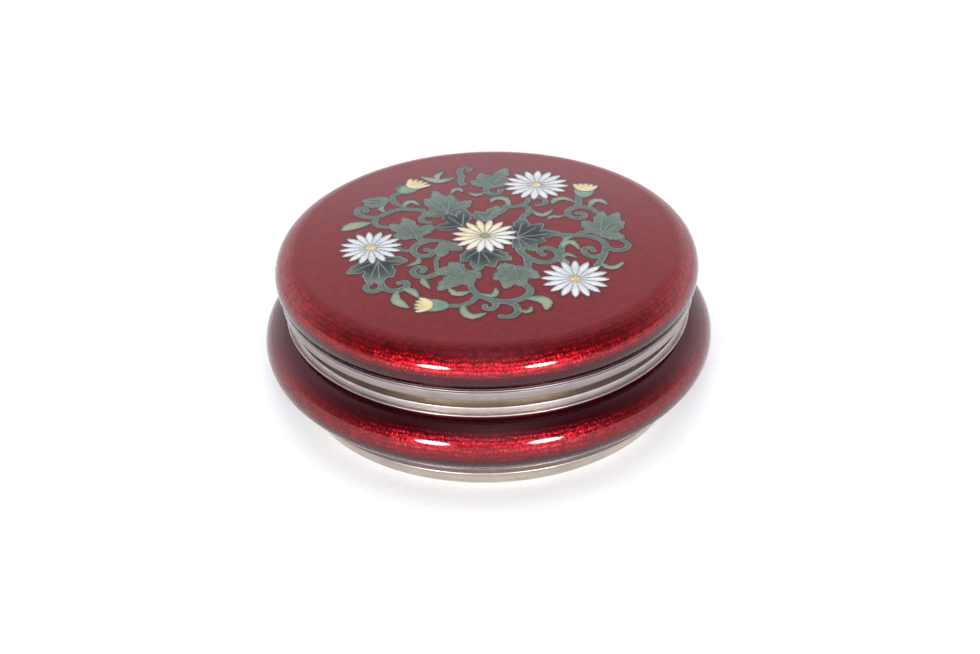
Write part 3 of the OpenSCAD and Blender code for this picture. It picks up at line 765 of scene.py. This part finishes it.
def grid_cut(bm, pitch):
    """Splits the faces along a square grid, so that the surface can take a relief."""
    xs = [v.co.x for v in bm.verts]
    ys = [v.co.y for v in bm.verts]
    for axis, values in ((Vector((1, 0, 0)), xs), (Vector((0, 1, 0)), ys)):
        at = math.ceil(min(values) / pitch) * pitch
        while at < max(values):
            geom = list(bm.verts) + list(bm.edges) + list(bm.faces)
            bmesh.ops.bisect_plane(bm, geom=geom, dist=1e-8, plane_co=axis * (at + 1e-7), plane_no=axis)
            at += pitch


def rim_samples(bm):
    """Points along the outline of a plan, with the direction that faces away from it."""
    points, outward = [], []
    for edge in bm.edges:
        if len(edge.link_faces) != 1:
            continue
        a, b = edge.verts[0].co, edge.verts[1].co
        d = b - a
        if d.length < 1e-8:
            continue
        n = Vector((d.y, -d.x, 0)).normalized()
        middle = edge.link_faces[0].calc_center_median()
        if n.dot(middle - a) > 0:
            n = -n
        count = max(1, int(d.length / OUTLINE_STEP))
        for k in range(count + 1):
            points.append(a + d * (k / count))
            outward.append(n)
    return points, outward


def tree_of(points):
    """A search tree over points of the plan."""
    tree = KDTree(len(points))
    for i, p in enumerate(points):
        tree.insert((p.x, p.y, 0), i)
    tree.balance()
    return tree


def disc_centres():
    """The middles of the flowers, from their discs; the first is the middle flower's."""
    found = []
    for node in ("green_centre", "flower_centres"):
        bm = mesh_of(node)
        bm.verts.index_update()
        for group in islands(bm):
            xs = [v.co.x for v in group]
            ys = [v.co.y for v in group]
            found.append(Vector(((min(xs) + max(xs)) / 2, (min(ys) + max(ys)) / 2, 0)))
        bm.free()
    return found


FLOWERS = disc_centres()


def plan_of(node):
    """The corners of a CAD inlay node's plan."""
    bm = cap_of(node)
    points = [v.co.copy() for v in bm.verts]
    bm.free()
    return points


STEM_TREE = tree_of(plan_of("scroll_stems"))


def clip(value):
    return max(0.0, min(1.0, value))


def shadow_spots():
    """Where leaves lie under a flower and darken: centre and radius of each spot."""
    left = min(FLOWERS, key=lambda f: f.x)
    centre = FLOWERS[0]
    return [(left + Vector((1.2, -6.4, 0)) * MM, 5.0 * MM),
            (centre + Vector((-0.6, -6.8, 0)) * MM, 4.8 * MM),
            (centre + Vector((8.2, 0.8, 0)) * MM, 5.4 * MM),
            (centre + Vector((-5.6, 5.8, 0)) * MM, 4.8 * MM)]


SHADOWS = shadow_spots()


def reach_of(node, co, middle):
    """0 to 1 mask for the second colour of a cell: petal tips, shaded leaves, pale tips."""
    centre = FLOWERS[0]
    if node == "white_petals":
        return clip((min((co - f).length for f in FLOWERS) - 3.4 * MM) / (2.8 * MM)) * 0.8
    if node == "cream_petals":
        across = (co - centre).dot(Vector((0.75, -0.66, 0)))
        return max(clip(0.25 + across / (5 * MM)), clip(((co - centre).length - 4.6 * MM) / (2 * MM)) * 0.7)
    if node == "dark_leaves":
        near = min((co - spot).length / radius for spot, radius in SHADOWS)
        return clip(1.6 - 1.2 * near)
    if node == "bud_petals":
        return clip((co - middle).length / (3.2 * MM))
    if node == "pale_leaves":
        return clip((STEM_TREE.find((co.x, co.y, 0))[2] - 0.6 * MM) / (2.8 * MM)) * 0.75
    return 0.0


def spread_of(co, middle, size):
    """0 at the middle of a cell and 1 at the point farthest from it."""
    return clip((co - middle).length / size - 0.25) / 0.75


def inlay_cells(node, slot_name, swell, width, grid):
    """Cells of one colour: each rises from the wire, over width, into a low polished swell that
    follows the dome."""
    bm = cap_of(node)
    grid_cut(bm, grid)
    bm.normal_update()
    points, outward = rim_samples(bm)
    near = tree_of(points)
    inner_layer = bm.verts.layers.float.new("inner")
    reach_layer = bm.verts.layers.float.new("reach")
    spread_layer = bm.verts.layers.float.new("spread")
    bm.verts.index_update()
    normals = {}
    rim_edges = [e for e in bm.edges if len(e.link_faces) == 1]
    base = {}
    for group in islands(bm):
        middle = sum((v.co for v in group), Vector()) / len(group)
        size = max((v.co - middle).length for v in group)
        for vert in group:
            base[vert.index] = (middle.copy(), size)
    for vert in list(bm.verts):
        co = vert.co.copy()
        hit, index, dist = near.find((co.x, co.y, 0))
        t = min(1.0, dist / width)
        rise = swell * (1 - (1 - t) ** 2)
        slope = 2 * swell * (1 - t) / width if dist < width else 0.0
        away = Vector((co.x - hit.x, co.y - hit.y, 0))
        away = away.normalized() if away.length > 1e-7 else -outward[index]
        dome = Vector((co.x, co.y, dome_height(co.x, co.y) - DOME_Z)).normalized()
        normals[vert] = (dome - away * slope).normalized()
        vert[inner_layer] = t
        middle, size = base[vert.index]
        vert[reach_layer] = reach_of(node, co, middle)
        vert[spread_layer] = spread_of(co, middle, size)
        vert.co.z = dome_height(co.x, co.y) + INLAY_LIFT + rise
    skirt(bm, rim_edges, normals)
    cell_object(bm, node, slot_name, normals)


def skirt(bm, rim_edges, normals):
    """Side walls under the outline, down into the enamel."""
    made = bmesh.ops.extrude_edge_only(bm, edges=rim_edges)
    for vert in [g for g in made["geom"] if isinstance(g, bmesh.types.BMVert)]:
        vert.co.z -= SKIRT_DEPTH
        normals[vert] = Vector((0, 0, 1))


def cell_object(bm, node, slot_name, normals, look=None):
    """Makes the inlay piece that stands for a CAD node, with its polished normals."""
    bm.verts.index_update()
    order = [None] * len(bm.verts)
    for vert in bm.verts:
        order[vert.index] = tuple(normals.get(vert, Vector((0, 0, 1))))
    for face in bm.faces:
        face.smooth = True
    obj = object_of(bm, node + "_polished")
    obj.data.normals_split_custom_set_from_vertices(order)
    finish_piece(obj, "lid", slot_name, node, look=look)


def inlay_wires(node, look):
    """Wires of one group: flat-ground ribbons that stand a little proud, with softened edges.
    Returns the points of their outline."""
    bm = cap_of(node)
    grid_cut(bm, WIRE_GRID)
    points, outward = rim_samples(bm)
    near = tree_of(points)
    rim_edges = [e for e in bm.edges if len(e.link_faces) == 1]
    normals = {}
    for vert in list(bm.verts):
        co = vert.co.copy()
        _, index, dist = near.find((co.x, co.y, 0))
        dome = Vector((co.x, co.y, dome_height(co.x, co.y) - DOME_Z)).normalized()
        lean = outward[index] * 0.45 if dist < WIRE_SOFT else Vector((0, 0, 0))
        normals[vert] = (dome + lean).normalized()
        vert.co.z = dome_height(co.x, co.y) + INLAY_LIFT + WIRE_PROUD
    skirt(bm, rim_edges, normals)
    cell_object(bm, node, "silver_wire", normals, look)
    return points


def shade_lid(skin, outline):
    """Darkens the foil close beside the inlay, where the standing wires keep the light off it."""
    near = tree_of(outline)
    mesh = skin.data
    layer = mesh.attributes.new("shade", "FLOAT", "POINT")
    values = np.zeros(len(mesh.vertices), np.float32)
    push = Vector((-0.12 * MM, 0.28 * MM, 0))
    width = 0.8 * MM
    for i, vert in enumerate(mesh.vertices):
        x, y = vert.co.x, vert.co.y
        if x * x + y * y > INLAY_R ** 2:
            continue
        _, _, dist = near.find((x + push.x, y + push.y, 0))
        values[i] = 0.6 * max(0.0, 1 - dist / width) ** 1.5
    layer.data.foreach_set("value", values)


LID = lid_skin()
bowl_skin()
lid_rim()
bowl_rim()
lower_mount()
foot_ring()
collar()
lid_lining()
bowl_lining()
bowl_underside()

# Each group of cells: height of its swell, width of the swell's flank and mesh pitch, in mm.
for node, slot_name, swell, width, grid in (
        ("white_petals", "white_enamel", 0.05, 0.35, 0.3),
        ("cream_petals", "cream_enamel", 0.05, 0.35, 0.3),
        ("flower_centres", "yellow_enamel", 0.08, 0.6, 0.2),
        ("green_centre", "moss_enamel", 0.08, 0.6, 0.2),
        ("dark_leaves", "dark_green_enamel", 0.05, 0.5, 0.45),
        ("pale_leaves", "pale_green_enamel", 0.04, 0.4, 0.45),
        ("scroll_stems", "stem_green_enamel", 0.04, 0.35, 0.45),
        ("bud_petals", "bud_cream_enamel", 0.05, 0.4, 0.45),
        ("bud_cups", "pale_green_enamel", 0.05, 0.4, 0.45)):
    inlay_cells(node, slot_name, swell * MM, width * MM, grid * MM)
OUTLINE = []
for wires, look in (("petal_wires", "silver_wire"), ("leaf_wires", "dull_wire"),
                    ("stem_wires", "dull_wire"), ("bud_wires", "dull_wire")):
    OUTLINE += inlay_wires(wires, look)
shade_lid(LID, OUTLINE)

for name, metal in (("bowl_copper", "copper"), ("lid_copper", "copper"),
                    ("bowl_foil", "silver_foil"), ("lid_foil", "silver_foil")):
    NODES[name].data.materials.clear()
    NODES[name].data.materials.append(MATS[metal])


# ---------------------------------------------------------------- setting
def floor():
    """A plain pale table top."""
    bm = bmesh.new()
    bmesh.ops.create_grid(bm, x_segments=40, y_segments=40, size=3.0)
    obj = object_of(bm, "floor")
    obj.data.materials.append(floor_paper())


def softbox(name, azimuth, elevation, distance, width, height, power, mirrored):
    """A soft light, placed by its direction from the object; azimuth 0 is the camera's side. It
    shows in reflections only if mirrored."""
    a, e = math.radians(azimuth), math.radians(elevation)
    back = Vector((math.sin(a) * math.cos(e), -math.cos(a) * math.cos(e), math.sin(e)))
    data = bpy.data.lights.new(name, "AREA")
    data.shape = "ELLIPSE"
    data.size = width
    data.size_y = height
    data.energy = power
    data.color = LIGHT_TINT
    obj = bpy.data.objects.new(name, data)
    obj.location = back * distance + Vector((0, 0, 0.02))
    obj.rotation_mode = "QUATERNION"
    obj.rotation_quaternion = back.to_track_quat("Z", "Y")
    obj.visible_glossy = mirrored
    bpy.context.scene.collection.objects.link(obj)


def camera():
    """The photographed view: about 32 degrees down, with a slight roll."""
    elevation = math.radians(VIEW_DOWN)
    back = Vector((0, -math.cos(elevation), math.sin(elevation)))
    data = bpy.data.cameras.new("camera")
    data.sensor_width = FILM_W
    data.lens = FOCAL / PICTURE_W * FILM_W
    data.shift_x = SHIFT_X / PICTURE_W
    data.shift_y = SHIFT_Y / PICTURE_W
    data.clip_start = 0.01
    data.clip_end = 20
    obj = bpy.data.objects.new("camera", data)
    roll = Euler((0, 0, math.radians(VIEW_ROLL))).to_matrix()
    turn = (-back).to_track_quat("-Z", "Y").to_matrix() @ roll
    obj.matrix_world = Matrix.Translation(LOOK_AT + back * VIEW_DISTANCE) @ turn.to_4x4()
    bpy.context.scene.collection.objects.link(obj)
    bpy.context.scene.camera = obj


def world():
    """A bright backdrop low behind the object that fades upward, a dim room in front, and a soft
    glow high in front."""
    scene = bpy.context.scene
    scene.world = scene.world or bpy.data.worlds.new("world")
    scene.world.use_nodes = True
    tree = scene.world.node_tree
    back = tree.nodes["Background"]
    xyz = add(tree, "ShaderNodeSeparateXYZ")
    plug(tree, add(tree, "ShaderNodeTexCoord").outputs["Generated"], xyz.inputs[0])
    depth = calc(tree, "ADD", calc(tree, "MULTIPLY", xyz.outputs[1], 0.5), 0.5)
    side = grey_ramp(tree, depth, [(0.0, 0.07), (0.32, 0.10), (0.52, 0.40), (0.72, 1.0)])
    rise = grey_ramp(tree, xyz.outputs[2], [(0.0, 1.0), (0.40, 0.92), (0.47, 0.74), (0.56, 0.66),
                                            (0.70, 0.56), (1.0, 0.50)])
    color = mix(tree, 1.0, side, rise, "MULTIPLY")
    ahead = calc(tree, "MULTIPLY", calc(tree, "SUBTRACT", xyz.outputs[2], xyz.outputs[1]), 0.7071)
    aside = grey_ramp(tree, calc(tree, "ABSOLUTE", xyz.outputs[0]), [(0.06, 1.0), (0.44, 0.0)])
    glow = calc(tree, "MULTIPLY", grey_ramp(tree, ahead, [(0.55, 0.0), (0.92, 0.46)]), aside)
    color = mix(tree, 1.0, color, glow, "ADD")
    color = mix(tree, 1.0, color, ROOM_TINT, "MULTIPLY")
    plug(tree, color, back.inputs[0])
    back.inputs[1].default_value = ROOM_STRENGTH
    scene.view_settings.view_transform = "Standard"
    scene.view_settings.look = "None"


floor()
world()
camera()
# Azimuth and elevation in degrees; distance, width and height in metres; power in watts.
for light in (("soft_left", -27.5, 10.5, 3.0, 0.82, 0.62, 62.0, True),
              ("soft_right", 25, 10.0, 3.0, 0.82, 0.62, 62.0, True),
              ("fill_top", 0, 88, 2.0, 2.8, 2.8, 21.0, False),
              ("fill_front", 0, 25, 2.5, 2.8, 1.4, 44.0, False)):
    softbox(*light)
